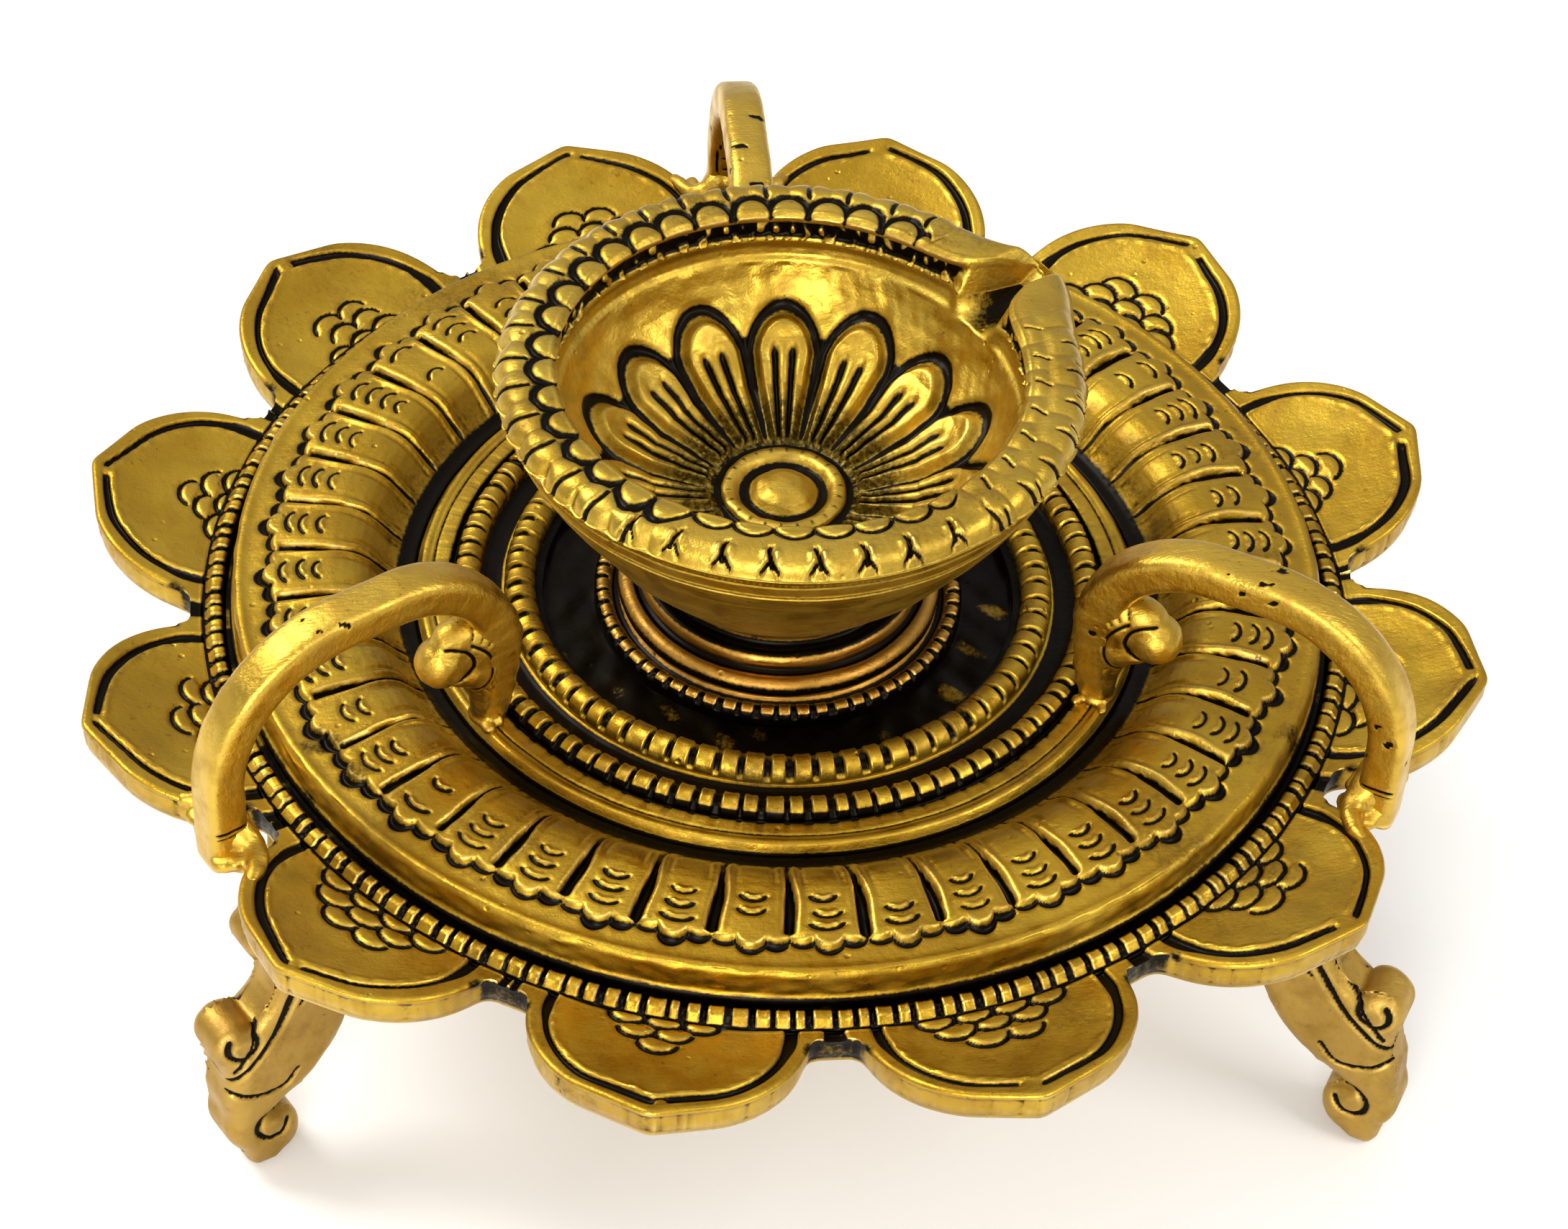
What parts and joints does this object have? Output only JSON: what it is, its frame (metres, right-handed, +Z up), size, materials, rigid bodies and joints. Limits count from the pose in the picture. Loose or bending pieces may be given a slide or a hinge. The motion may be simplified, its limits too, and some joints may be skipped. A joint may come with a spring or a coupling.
{
  "type": "diya oil lamp",
  "caption": "Brass oil lamp: spouted bowl on a stepped foot over a fluted dish in a lotus-petal tray, with arched handles and scroll legs.",
  "frame": {"origin": "on the ground, under the centre of the tray and on the axis that the oil bowl turns about", "axes": "+Z up along the bowl's axis; one handle and one leg lie along +Y, the others at 120 degrees to it; the wick spout points 30 degrees from +X towards +Y, midway between two handles"},
  "size_m": [0.1786, 0.1786, 0.0996],
  "materials": {
    "antique_brass": "cast brass with black patina in the recesses, hand-burnished high spots",
    "polished_brass": "burnished cast brass with black patina in the engraving",
    "handle_brass": "filed and burnished cast brass, slightly pitted",
    "leg_brass": "cast brass, satin, dark in the carved lines",
    "turned_brass": "turned brass, dull"
  },
  "bodies": {
    "stand": {"lotus_tray": "antique_brass", "fluted_dish": "antique_brass", "pedestal": "antique_brass", "handle_back": "handle_brass", "handle_left": "handle_brass", "handle_right": "handle_brass", "leg_back": "leg_brass", "leg_left": "leg_brass", "leg_right": "leg_brass"},
    "bowl": {"oil_bowl": "polished_brass", "centre_stud": "turned_brass", "flat_washer": "turned_brass", "spring_washer": "turned_brass", "clamp_nut": "turned_brass"}
  },
  "joints": [
    {"name": "bowl_turn", "type": "hinge", "parent": "stand", "child": "bowl", "pos_m": [0, 0, 0.0674], "axis": [0, 0, 1], "continuous": true}
  ]
}
